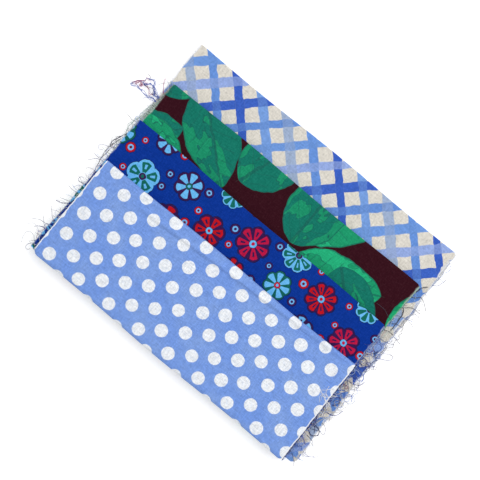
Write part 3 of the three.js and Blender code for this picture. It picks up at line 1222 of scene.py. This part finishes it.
@dataclass
class FrayedEnd:
    """The loose yarns at one raw end of a cut.

    fuzz is the distance between the shortest yarn ends of a ply, hairs the number of longer ones and hair
    their length. bows slid off the edge and lie up to off away. loops curl back on themselves between the
    shares of the width in loop_span and the distances from the raw end in loop_at, over the cut if over.
    winding is how fast loops turn, in radians a millimetre, loop_reach how far they stray, and heaviness how
    the radius of the shorter yarns varies. bend and kink are how far these turn as a whole and from step to
    step, climb the mean and the spread of their slope, sag how fast they droop, and stub the shortest
    length. step is the distance from one point of a yarn to the next.
    """

    cut: FoldedCut
    end: End
    seed: int
    fuzz: float
    hairs: int
    hair: float
    off: float
    bows: int = 0
    loops: int = 0
    loop_span: tuple[float, float] = (0.0, 1.0)
    loop_at: tuple[float, float] = (1.0, 3.5)
    over: bool = False
    fringes: tuple[Fringe, ...] = ()
    strays: tuple[Stray, ...] = ()
    stub: float = 0.4
    fuzz_length: float = 0.6
    bend: float = 0.11
    kink: float = 0.1
    climb: tuple[float, float] = (0.05, 0.2)
    sag: tuple[float, float] = (0.01, 0.05)
    bow_length: tuple[float, float] = (9.0, 34.0)
    loop_length: tuple[float, float] = (7.0, 26.0)
    loop_reach: tuple[float, float] = (1.2, 3.2)
    winding: tuple[float, float] = (0.12, 0.5)
    heaviness: tuple[float, float] = (0.7, 1.25)
    radius: float = 0.14
    step: float = 0.7

    def __post_init__(self) -> None:
        """Starts this end's own draw of numbers."""
        self.draw = np.random.default_rng(self.seed)
        self.threads: list[Thread] = []
        self.below: list[FoldedCut] = []
        self.above: list[FoldedCut] = []

    @property
    def outward(self) -> float:
        """The heading away from the cloth, in radians."""
        return 0.0 if self.end is End.RIGHT else math.pi

    def any_waver(self, place: Array) -> Array:
        """A wave with a newly drawn seed."""
        return waver(place, self.draw.uniform(0, 99))

    def add(self, path: Array, radius: float, tone: float, on_top: bool = False) -> None:
        """Keeps one yarn, moved clear of the cloth over and under it.

        Args:
            path: Its path.
            radius: Its radius.
            tone: The number that picks its colour.
            on_top: Whether it lies on its own cut.
        """
        x, y = path[:, 0], path[:, 1]
        rest, roof = np.zeros(len(path)), np.full(len(path), np.inf)
        for cut in self.below + [self.cut] * on_top:
            top = cut.base + cut.height + cut.lift(x, y, np.ones(len(path))) + CLEARANCE
            rest = np.where(cut.holds(x, y), top, rest)
        for cut in reversed(self.above):
            roof = np.where(cut.holds(x, y), cut.base - CLEARANCE, roof)
        path[:, 2] = np.minimum(np.maximum(path[:, 2], rest + radius), np.maximum(roof, rest) - radius)
        self.threads.append(Thread(path, radius, tone))

    def root(self, ply: int, y: float) -> Array:
        """Where a yarn leaves the raw end of one ply.

        Args:
            ply: Which ply.
            y: Where across the cut.

        Returns:
            The point, just inside the cloth.
        """
        cut = self.cut
        s = np.array([0.0 if self.end is End.LEFT else 1.0])
        start = cut.turn_y(ply - 1, s)[0] if ply > 0 else cut.free_y[0]
        stop = cut.turn_y(ply, s)[0] if ply < len(cut.levels) - 1 else cut.free_y[1]
        part = min(max((y - start) / (stop - start), 0.01), 0.99)
        y = start + (stop - start) * part
        outs = [cut.out(self.end, turn) for turn in (ply - 1, ply)]
        place = [np.array([value]) for value in (y, outs[0] + (outs[1] - outs[0]) * part, float(ply))]
        x = cut.raw_end(self.end, *place)
        level = (CLOTH / 2 + cut.levels[ply] * cut.pitch) / cut.height
        lift = cut.lift(x, place[0], np.array([level]))[0]
        return np.array([x[0] - self.end.value * 0.4, y, cut.base + level * cut.height + lift])

    def wisp(self, root: Array, length: float, spread: float, darkest: float = 1.0) -> None:
        """One cut yarn end that leaves the edge and droops.

        Args:
            root: Where it starts.
            length: How long it is.
            spread: How far it may turn from straight out, in radians.
            darkest: The most that its colour number may be.
        """
        steps = max(2, int(length / self.step))
        heading = self.outward + self.draw.normal(0.0, spread)
        swing = self.draw.normal(0.0, self.bend) * length / steps
        angles = heading + np.cumsum(swing + self.draw.normal(0.0, self.kink, steps))
        flat = np.cumsum(np.stack([np.cos(angles), np.sin(angles)], axis=1) * length / steps, axis=0)
        flat = root[:2] + np.vstack([np.zeros((1, 2)), flat])
        t = np.linspace(0.0, length, steps + 1)
        rise = self.draw.normal(*self.climb) * t - self.draw.uniform(*self.sag) * t * t
        thick = self.radius * self.draw.uniform(*self.heaviness) * (1.0 if length > 1.8 else 0.7)
        self.add(np.column_stack([flat, root[2] + rise]), thick, self.draw.uniform(0.0, darkest))

    def bow(self) -> None:
        """Lays a yarn that slid off the edge and lies beside it."""
        top = len(self.cut.levels) - 1
        ply = self.cut.levels.index(int(self.draw.integers(max(0, top - 4), top + 1)))
        length = self.draw.uniform(*self.bow_length)
        start = self.draw.uniform(self.cut.near[0], self.cut.far[0] - length)
        spine = np.array([self.root(ply, y) for y in np.arange(start, start + length, self.step)])
        t = np.linspace(0.0, 1.0, len(spine))
        stand = self.draw.uniform(0.2, 1.0) * self.off * (1 - np.abs(2 * t - 1) ** 2.2)
        stand = stand * (1 + 0.4 * self.any_waver(t * length / 8))
        spine[:, 0] += self.end.value * (stand + 0.5)
        spine[:, 1] += 1.2 * self.any_waver(t * length / 6)
        spine[:, 2] += 0.3 * self.any_waver(t * length / 8) - 0.3 * stand
        self.add(spine, self.radius * 1.1, self.draw.uniform())

    def curl(self, start: Array, heading: float, home: Array, reach: float, length: float) -> Array:
        """The path of a yarn that winds in loops and keeps near one place.

        Args:
            start: Where it starts.
            heading: Its first direction, in radians.
            home: The place it keeps near.
            reach: How far from there it strays.
            length: How long it is.

        Returns:
            The path.
        """
        tight = self.draw.uniform(*self.winding) * self.draw.choice([-1.0, 1.0])
        wound = tight * (0.7 + 0.8 * self.any_waver(np.arange(int(length / self.step)) * self.step / 12))
        path = [start]
        for turn in wound * self.step:
            away = home - path[-1]
            if np.hypot(*away) > reach:
                turn += 0.4 * math.sin(math.atan2(away[1], away[0]) - heading)
            heading += turn
            path.append(path[-1] + self.step * np.array([math.cos(heading), math.sin(heading)]))
        return np.array(path)

    def loop(self) -> None:
        """Lays a long yarn end that winds in loops beside the edge."""
        near, far = self.cut.near[0], self.cut.far[0]
        ply = int(self.draw.integers(0, len(self.cut.levels)))
        root = self.root(ply, near + (far - near) * self.draw.uniform(*self.loop_span))
        aside = self.end.value * self.draw.uniform(*self.loop_at)
        home = root[:2] + np.array([aside, self.draw.normal(0, 2)])
        reach = self.draw.uniform(*self.loop_reach)
        heading = self.outward + self.draw.normal(0, 0.8)
        flat = self.curl(root[:2], heading, home, reach, self.draw.uniform(*self.loop_length))
        t = np.linspace(0.0, 1.0, len(flat))
        z = root[2] + self.draw.uniform(-1.0, 1.5) * t + 0.7 * self.any_waver(t * len(flat) / 12)
        radius = self.radius * self.draw.uniform(1.1, 1.8)
        self.add(np.column_stack([flat, z]), radius, self.draw.uniform(), self.over)

    def stray(self, stray: Stray) -> None:
        """Lays one long loose yarn through its places.

        Args:
            stray: The yarn.
        """
        line = through(stray.places, self.step)
        t = np.linspace(0.0, 1.0, len(line))
        ground = self.cut.base + self.cut.height * stray.on_top
        start, stop = stray.lifted
        for copy in range(stray.copies):
            apart = stray.waver * (1 + 1.5 * (copy > 0))
            aside = [self.any_waver(t * len(line) / 11) for _ in range(3)]
            z = ground + start + (stop - start) * t + 0.3 * aside[2]
            path = np.column_stack([line + apart * np.column_stack(aside[:2]), z])
            self.add(path, stray.radius, stray.tone, stray.on_top)

    def build(self, stack: list[FoldedCut]) -> bpy.types.Object:
        """All the loose yarns of this end as one piece.

        Args:
            stack: All the cuts, from the bottom one up.

        Returns:
            The piece.
        """
        cut, draw, place = self.cut, self.draw, stack.index(self.cut)
        self.below, self.above = stack[:place], stack[place + 1 :]
        near, far, plies = cut.near[0], cut.far[0], len(cut.levels)
        for ply in range(plies):
            for y in np.arange(near + 1.0, far - 1.0, self.fuzz):
                length = self.stub + self.fuzz_length * draw.lognormal(0.0, 0.45)
                self.wisp(self.root(ply, y + draw.uniform(0.0, self.fuzz)), length, 0.5, 0.4)
        for fringe in self.fringes:
            for level in range(plies - 1, plies - 1 - fringe.plies, -1):
                for y in np.arange(fringe.low, fringe.high, fringe.spacing):
                    length = fringe.length * draw.uniform(0.45, 1.15)
                    root = self.root(cut.levels.index(level), y + draw.normal(0, 0.3))
                    self.wisp(root, length, fringe.spread, fringe.darkest)
        for _ in range(self.hairs):
            root = self.root(int(draw.integers(0, plies)), draw.uniform(near, far))
            self.wisp(root, self.stub + self.hair * draw.lognormal(-0.1, 0.6), 0.75)
        for _ in range(self.bows):
            self.bow()
        for _ in range(self.loops):
            self.loop()
        for stray in self.strays:
            self.stray(stray)
        return bundle(f"{cut.name}_threads_{self.end.word}", self.threads)


@dataclass
class Studio:
    """A plain pale floor under soft light, with the camera straight above the stack.

    over is the layout place that the camera looks at, and turn the angle from the cuts' length to the
    picture's lower edge.
    """

    over: tuple[float, float] = (108.6, 100.3)
    above: float = 1200.0
    view_width: float = 341.8
    turn: float = 40.0
    sensor: float = 36.0
    floor_size: float = 6.0
    floor_colour: tuple[float, ...] = (0.9, 0.9, 0.905, 1.0)
    floor_glow: float = 0.37
    white: tuple[float, ...] = (1.0, 1.0, 1.0, 1.0)
    lamp_size: float = 1.3
    lamp_at: tuple[float, ...] = (0.24, 0.48, 1.4)
    lamp_power: float = 14.5
    sky: float = 0.52

    def floor(self) -> None:
        """Lays the floor, which isn't part of the object, and which glows a little like a light table."""
        half = self.floor_size / 2
        mesh = bpy.data.meshes.new("floor")
        corners = [(-half, -half, 0), (half, -half, 0), (half, half, 0), (-half, half, 0)]
        mesh.from_pydata(corners, [], [(0, 1, 2, 3)])
        paper = Finish("pale paper")
        paper.cover({
            "Base Color": self.floor_colour,
            "Roughness": 0.9,
            "Specular IOR Level": 0.1,
            "Emission Color": self.white,
            "Emission Strength": self.floor_glow,
        })
        mesh.materials.append(paper.material)
        ground = put("floor", mesh)

    def lights(self) -> None:
        """Sets a broad soft lamp beyond the far folds, and an even pale sky."""
        lamp = bpy.data.lights.new("softbox", "AREA")
        lamp.shape = "SQUARE"
        lamp.size = self.lamp_size
        lamp.energy = self.lamp_power
        holder = put("softbox", lamp)
        holder.location = self.lamp_at
        holder.rotation_mode = "QUATERNION"
        holder.rotation_quaternion = (-holder.location).to_track_quat("-Z", "Y")
        world = bpy.data.worlds.new("pale sky")
        world.use_nodes = True
        sockets = world.node_tree.nodes["Background"].inputs
        sockets["Color"].default_value = self.white
        sockets["Strength"].default_value = self.sky
        bpy.context.scene.world = world
        bpy.context.scene.view_settings.view_transform = "Standard"

    def camera(self) -> None:
        """Sets the camera straight above, turned as the photograph is."""
        data = bpy.data.cameras.new("camera")
        data.sensor_width = self.sensor
        data.lens = self.sensor * self.above / self.view_width
        holder = put("camera", data)
        holder.location = to_frame(np.array([*self.over, self.above])).tolist()
        holder.rotation_euler = (0.0, 0.0, math.radians(self.turn))
        bpy.context.scene.camera = holder


def make_cuts() -> list[FoldedCut]:
    """The four cuts, from the bottom one up.

    Returns:
        The cuts.
    """
    check = FoldedCut(
        name="check", base=0, height=3.6, levels=(0, 3, 4, 5, 2, 1), first_turn=Side.NEAR, near=(1.8, 2.4),
        far=(189.2, 191.7), ends=RawEnds(0.9, -1.7, 239.4, 232.2), short_turn=2, short_y=8,
        free_y=(184, 184.5), uneven={End.LEFT: (-1.5, 0.6), End.RIGHT: (-1.5, 2.6)}, wave=0.1, seed=1,
        corners=(0.8, 2.4, 0.8, 1.2), ragged={End.LEFT: 0.25, End.RIGHT: 0.65},
        flare={End.LEFT: 0, End.RIGHT: 1.6},
        creases=(
            Crease((20, 172), (90, 181), 2.2, 0.3),
            Crease((120, 168), (205, 173), 3, -0.35),
            Crease((150, 186), (222, 183), 1.6, 0.25),
            Crease((60, 166), (74, 187), 2.5, -0.3),
        ),
    )
    leaf = FoldedCut(
        name="leaf", base=3.95, height=3.6, levels=(7, 4, 3, 0, 1, 2, 5, 6), first_turn=Side.FAR,
        near=(1.2, 1), far=(155.6, 157.2), ends=RawEnds(1, 2.1, 227.3, 226.7), short_turn=3, short_y=66,
        free_y=(2.6, 4), uneven={End.LEFT: (-1, 3.4), End.RIGHT: (-1.2, 1.2)}, wave=0.45, seed=2,
        ragged={End.LEFT: 0.3, End.RIGHT: 0.3},
        creases=(
            Crease((30, 128), (110, 136), 2.5, -0.3),
            Crease((130, 148), (210, 143), 2.2, 0.25),
            Crease((90, 124), (104, 154), 2.2, 0.22),
        ),
    )
    flower = FoldedCut(
        name="flower", base=7.9, height=3.9, levels=(9, 6, 5, 2, 1, 0, 3, 4, 7, 8), first_turn=Side.FAR,
        near=(0.6, 1.6), far=(120.1, 120.1), ends=RawEnds(-1.6, 0, 230.4, 225.9), short_turn=4, short_y=83,
        free_y=(2.2, 3.4), uneven={End.LEFT: (-1.4, 0.5), End.RIGHT: (-1, 1.6)}, wave=0.7, seed=3,
        ragged={End.LEFT: 0.3, End.RIGHT: 0.4},
        creases=(
            Crease((20, 100), (96, 106), 2.6, -0.3),
            Crease((120, 112), (200, 108), 2.2, 0.25),
        ),
    )
    dot = FoldedCut(
        name="dot", base=12.15, height=5.7, levels=(0, 13, 2, 11, 4, 9, 6, 7, 8, 5, 10, 3, 12, 1),
        first_turn=Side.NEAR, near=(0, 0), far=(83.7, 85.1), ends=RawEnds(1.9, 1.2, 230, 227.2),
        short_turn=6, short_y=31, free_y=(81.5, 82.5),
        uneven={End.LEFT: (-1.8, 0.2), End.RIGHT: (-1.8, 0.2)}, wave=0.25, seed=4,
        corners=(3, 1.9, 0.6, 0.6), fine_steps=110, ragged={End.LEFT: 0.12, End.RIGHT: 0.14},
        flare={End.LEFT: 0.5, End.RIGHT: 0.5},
        creases=(
            Crease((16, 70.6), (236, 84.4), 1.1, 1.7, 3, 30),
            Crease((150, 60), (216, 66), 3.2, -0.35),
            Crease((20, 48), (60, 60), 3, 0.3),
            Crease((96, 18), (150, 34), 3.4, -0.35),
            Crease((30, 14), (92, 22), 3, 0.3),
            Crease((170, 22), (214, 12), 2.8, 0.35),
            Crease((110, 46), (134, 58), 2.6, 0.3),
        ),
    )
    return [check, leaf, flower, dot]


def make_frays(cuts: list[FoldedCut]) -> list[FrayedEnd]:
    """The frayed ends of every cut, with the yarns that stand out laid one by one.

    Args:
        cuts: The cuts, from the bottom one up.

    Returns:
        The frayed ends.
    """
    check, leaf, flower, dot = cuts
    # Heights over the cut's underside at the first and the last place of a yarn.
    low, high, beside = (1, -2.5), (4.2, 5), (2, 0)
    ring = (0, 137, -4.5, 136, -11, 137, -15.5, 137, -19, 136.5, -21.5, 135.5, -22, 137.5)
    back = (-22, 137.5, -20.5, 139.5, -18.5, 141.5, -16, 143, -16, 146, -12.5, 147)
    over = (-14.5, 146.5, -11.5, 147, -9, 146, -7.5, 143.5, -5, 142.5, -2, 141.5, 0.5, 139.5)
    blue = (-16, 142.5, -13.5, 142.5, -10.5, 144.5, -8, 144, -5.5, 142, -4.5, 139.5, 0, 141)
    pink = (-19.5, 137.5, -20, 139.5, -18.5, 141.5, -16.5, 141.5, -15.5, 139, -17, 139, -13.5, 143)
    inner = (-14, 141.5, -12, 141, -9.5, 140.5, -7.5, 139, -5.5, 139, -4, 141, -6.5, 142.5)
    leaf_left = (
        Stray(ring, 0.7, 4, low, 0.5),
        Stray(back, 0.9, 2, (-2.5, -1), 0.5),
        Stray(back, 0.7, 1, (-2.5, -1), 0.7),
        Stray(over, 0.7, 4, (-1, 1), 0.5),
        Stray(blue, 0.7, 5, (-1, 1), 0.45, 0.18),
        Stray(pink, 0.9, 4, (-2, -1.5), 0.5),
        Stray(inner, 0.9, 2, (-1, 0), 0.4),
        Stray(inner, 0.5, 2, (-1, 0), 0.8),
        Stray((-14, 147.5, -15.5, 148.5, -17.5, 148.5), 0.5, 1, (-1.5, -2)),
        Stray((0.5, 144.5, -3, 149, -4, 151.5, -5.5, 154), 0.9, 2, (1, 0)),
        Stray((-7, 148, -3.5, 151.5, -1, 154, 2, 155), 0.3, 1, (-1, 2)),
        Stray((1, 137, -1.5, 130, -2.5, 126, -0.5, 121), 0.3, 3, (2, 2), 0.4),
        Stray((1, 112, -3, 103.5, -5, 99, -6, 96, -5, 91.5, -5, 85.5, -4.5, 80.5), 0.5, 2, beside),
        Stray((-2, 101, -3.5, 97, -4.5, 92, -5.5, 94.5, -5, 98.5, -2.5, 103), 0.5, 2, (1, 1), 0.4),
        Stray((1, 128, -3, 118, -3.5, 110, -1, 104), 0.3, 3, (2, 1), 0.4),
        Stray((-3.5, 90, -4, 82, -3, 77, -1.5, 69.5, 1, 63), 0.5, 2, (1, 3), 0.2, 0.17),
    )
    flower_left = (
        Stray((1, 81, -5, 80, -8, 77.5, -10.5, 74), 0.7, 1, beside),
        Stray((-5, 80.5, -7, 80.5, -10, 81), 0.7, 1, (0.5, 0)),
        Stray((1, 60.5, -5, 59, -7, 60.5, -6.5, 62.5, -4, 63), 0.7, 1, beside),
        Stray((1, 45, -4, 40, -9, 38), 0.7, 2, beside),
        Stray((1, 19, -6, 17, -9, 14), 0.7, 2, beside),
        Stray((1, 12.5, -3, 12, -5.5, 11), 0.9, 1, beside),
    )
    dot_left = (
        Stray((3, 24, -2.5, 27.5, -5.5, 30.5, -8.5, 33.5), 0.7, 1, (3, 4)),
        Stray((3, 18, -2.5, 20, -6, 22, -8.5, 24.5), 0.7, 1, (3, 4)),
        Stray((3, 22, -2.5, 21.5, -7.5, 21, -13.5, 18), 0.7, 1, (3, 1)),
        Stray((3, 44, -3, 43.5, -7.5, 42), 0.7, 1, (3, 2)),
        Stray((3, 3, -6, 9, -10.5, 8.5, -11, 4, -9.5, -1), 0.3, 1, (2, -10), 0.3, 0.2),
        Stray((2, 8, -5, 14, -11, 15.5, -15, 12), 0.3, 1, (2, -8), 0.3, 0.16),
    )
    check_right = (
        Stray((232, 53, 231.5, 56, 233.5, 59.5, 236, 58.5, 236.5, 55.5, 234, 52.5), 0.7, 2, high),
        Stray((229, 31, 235.5, 26.5, 238.5, 27.5, 240, 30.5, 238, 33.5, 232, 34.5), 0.9, 2, high),
        Stray((230, 33.5, 237.5, 33, 243, 32.5, 240, 37.5, 236.5, 38.5), 0.9, 1, high),
        Stray((231, 27, 234.5, 38.5, 236.5, 43.5, 241.5, 47), 0.1, 2, (6, 5), 0.4, 0.2),
        Stray((230, 39, 232, 46, 235.5, 49, 238.5, 48), 0.1, 3, (6, 5), 0.5, 0.2),
        Stray((230, 82, 233, 84, 238, 82.5, 239, 79.5, 236.5, 78, 234.5, 80), 0.5, 2, high),
        Stray((230, 96, 233, 99, 234.5, 103), 0.7, 2, high),
        Stray((230, 102, 233.5, 100.5, 238.5, 96.5), 0.9, 1, high),
        Stray((231, 73, 239, 75, 241.5, 80.5), 0.7, 2, high),
        Stray((233, 46, 239, 47, 241.5, 50, 242.5, 54.5), 0.7, 2, high),
        Stray((234, 25, 239, 24, 242.5, 21.5), 0.9, 1, high),
        Stray((230, 63, 234, 66, 237, 62, 240, 66, 243, 63), 0.5, 2, high, 0.4),
        Stray((231, 12, 235, 16, 238.5, 13, 240, 8, 243, 9), 0.5, 2, high, 0.4),
        Stray((229, 6, 233, 9, 238, 5, 241, 1.5), 0.9, 1, high, 0.4),
        Stray((230, 160, 233.5, 163, 237.5, 166, 239.5, 173), 0.7, 1, (2, 1)),
        Stray((231, 20, 234, 22.5, 237, 19.5, 235, 15.5, 232.5, 17.5, 236.5, 23), 0.1, 2, high),
        Stray((231, 69, 234.5, 68, 236, 72, 233, 74.5, 232, 70.5, 237.5, 69.5), 0.1, 2, high),
        Stray((230.5, 57, 233, 63, 236.5, 60.5, 238, 65.5, 234.5, 70), 0.1, 2, high, 0.4),
    )
    leaf_right = (
        Stray((224, 146, 229, 148, 233, 151.5, 238, 149.5, 242.5, 146), 0.5, 1, beside, 0.2, 0.27),
        Stray((224, 137.5, 228, 138, 233, 141.5, 240.5, 142.5), 0.5, 1, beside, 0.2, 0.27),
        Stray((225, 123, 231.5, 125.5, 237, 126.5), 0.5, 1, beside, 0.25, 0.25),
        Stray((225, 116, 233, 118.5, 238.5, 117.5, 244, 116.5), 0.5, 1, beside, 0.25, 0.25),
        Stray((225, 141.5, 230.5, 135, 231.5, 128, 231.5, 120), 0.5, 2, (1, 0.5), 0.3, 0.25),
        Stray((224.5, 150, 228, 152, 229, 156, 232, 160), 0.5, 2, beside, 0.25, 0.25),
        Stray((211.5, 128, 215, 128.5, 219, 128, 225, 126, 228.5, 125.5), 0.5, 1, (0, 0), 0.2, 0.14, True),
    )
    flower_right = (
        # Partly painted shadow: this navy yarn along the dot cut's right raw edge stands for the flower cut's
        # navy edge and for the shadow under the dot cut's edge.
        Stray(
            (231.1, 0.5, 230.7, 18, 230, 36, 229.4, 56, 228.6, 72, 228.2, 86),
            0.9, 2, (3.2, 3.2), 0.12, 0.3,
        ),
        Stray((226, 110.5, 232, 111, 235.5, 111.5, 240, 113.5), 0.9, 1, beside),
        Stray((226, 91, 231, 93, 235, 90, 239, 93), 0.7, 2, beside),
        Stray((228, 20, 232, 22, 236, 19, 239, 22), 0.5, 2, beside, 0.5),
        Stray((228, 48, 232.5, 43, 231.5, 38, 234.5, 34), 0.9, 2, beside, 0.4),
    )
    dot_right = (
        Stray((224.5, 61.5, 222.5, 58.5, 220, 56, 219.5, 54), 0.5, 2, (0.1, 0.4), 0.4, 0.16, True),
        Stray((231, 52.5, 227.5, 52.5, 224, 54, 220.5, 55), 0.5, 3, (0.3, 0.2), 0.5, 0.16, True),
        Stray((231, 60.5, 228, 57.5, 225, 54, 222, 53.5), 0.5, 2, (0.3, 0.2), 0.4, 0.16, True),
        Stray((230.5, 49.5, 226, 53.5, 223.5, 57.5, 222.5, 62), 0.5, 2, (0.3, 0.4), 0.4, 0.16, True),
        Stray((224, 50, 222.5, 53, 225, 56, 228, 55, 227, 51), 0.5, 2, (0.3, 0.4), 0.5, 0.16, True),
    )
    return [
        FrayedEnd(check, End.LEFT, 11, 3.4, 16, 2.2, 2, bows=3, loops=2),
        FrayedEnd(
            check, End.RIGHT, 12, 5, 40, 5.5, 5, bows=14, loops=20, loop_span=(0, 0.6), loop_at=(-6, 3),
            over=True, fringes=(Fringe(4, 84, 2.6, 4, 2, 0.4, 0.4), Fringe(110, 160, 2.4, 2.4)),
            strays=check_right,
        ),
        FrayedEnd(
            leaf, End.LEFT, 13, 3.4, 30, 4.6, 5, bows=8, loops=6, loop_span=(0.55, 0.9),
            fringes=(Fringe(84, 136, 0.65, 4.6, 2, 0.14, 0.4),), strays=leaf_left,
        ),
        FrayedEnd(leaf, End.RIGHT, 14, 3, 26, 4.6, 5, bows=5, loops=6, strays=leaf_right),
        FrayedEnd(flower, End.LEFT, 15, 3, 38, 5, 3.5, bows=2, loops=3, strays=flower_left),
        FrayedEnd(
            flower, End.RIGHT, 16, 3, 26, 4.6, 6, bows=9, loops=14, loop_span=(0, 0.8), loop_at=(1, 5),
            fringes=(Fringe(3, 112, 2, 4, 2, 0.35, 0.6),), strays=flower_right,
        ),
        FrayedEnd(dot, End.LEFT, 17, 3, 30, 4.6, 3, bows=1, loops=1, strays=dot_left),
        FrayedEnd(dot, End.RIGHT, 18, 3.6, 12, 1.8, 2, bows=1, loops=1, strays=dot_right),
    ]


COTTONS = {
    "check": PrintedCotton("check_cotton", CheckPrint()),
    "leaf": PrintedCotton("leaf_cotton", LeafPrint(), yarn=(214, 222, 216), worn_ends=0.2),
    "flower": PrintedCotton("flower_cotton", FlowerPrint(), yarn=(206, 214, 232), worn_ends=0.25),
    "dot": PrintedCotton(
        "dot_cotton", DotPrint(), yarn=(246, 248, 252), worn_ends=0.95, worn_width=0.7,
        # Painted shade and highlight along the crease near the dot cut's far fold.
        folds=(PaintedCreaseShade((28, 70.6), (232, 83.4)),),
    ),
}

YARNS = {
    "check": ((228, 223, 214), (196, 209, 234), (72, 120, 214), (66, 74, 144), (30, 34, 96)),
    "leaf": ((236, 242, 240), (200, 218, 210), (76, 76, 96), (92, 118, 198), (180, 98, 138)),
    "flower": ((172, 196, 238), (84, 126, 220), (38, 72, 184), (72, 72, 130), (30, 32, 88)),
    "dot": ((206, 214, 232), (180, 186, 200), (246, 249, 253), (112, 118, 142), (92, 92, 120)),
}


def main() -> None:
    """Builds the studio, the cuts and their loose yarns, attaches each piece to the root body and hides the
    part of model.glb that it stands for.
    """
    logging.basicConfig(level=logging.INFO, format="%(message)s")
    studio = Studio()
    studio.floor()
    studio.lights()
    studio.camera()
    cuts = make_cuts()
    cotton = {name: finish.material() for name, finish in COTTONS.items()}
    yarn = {name: LooseYarn(f"{name}_threads", colours).material() for name, colours in YARNS.items()}
    for cut in cuts:
        cloth = cut.build()
        cloth.data.materials.append(cotton[cut.name])
        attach(cloth, "root")
        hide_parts(f"{cut.name}_cut")
        log.info("%s: %d faces", cloth.name, len(cloth.data.polygons))
    loose = {cut.name: [] for cut in cuts}
    for fray in make_frays(cuts):
        threads = fray.build(cuts)
        threads.data.materials.append(yarn[fray.cut.name])
        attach(threads, "root")
        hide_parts(f"{fray.cut.name}_fray_{fray.end.word}")
        loose[fray.cut.name].append(threads)
        log.info("%s: %d faces", threads.name, len(threads.data.polygons))


if __name__ == "__main__":
    main()
